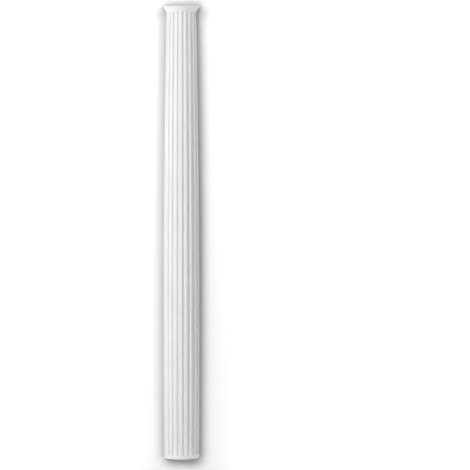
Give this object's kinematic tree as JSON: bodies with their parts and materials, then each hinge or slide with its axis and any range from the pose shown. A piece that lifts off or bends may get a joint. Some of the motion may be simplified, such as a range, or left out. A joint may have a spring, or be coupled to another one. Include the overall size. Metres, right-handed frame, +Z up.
{
  "type": "half column shaft",
  "caption": "Half-round fluted column shaft with a swelling middle, a flared rim at each end and a flat back, fixed to a wall between a base and a capital.",
  "frame": {"origin": "foot of the centreline of the flat back, where the back meets the wall", "axes": "+Z up along the shaft, +Y out of the flat back into the wall, so the fluted front faces -Y"},
  "size_m": [0.1948, 0.0974, 2.4],
  "materials": {
    "primed_foam": "rigid polyurethane foam with a smooth moulded skin, factory primed in satin white"
  },
  "bodies": {
    "root": {"shaft": "primed_foam"}
  },
  "joints": []
}
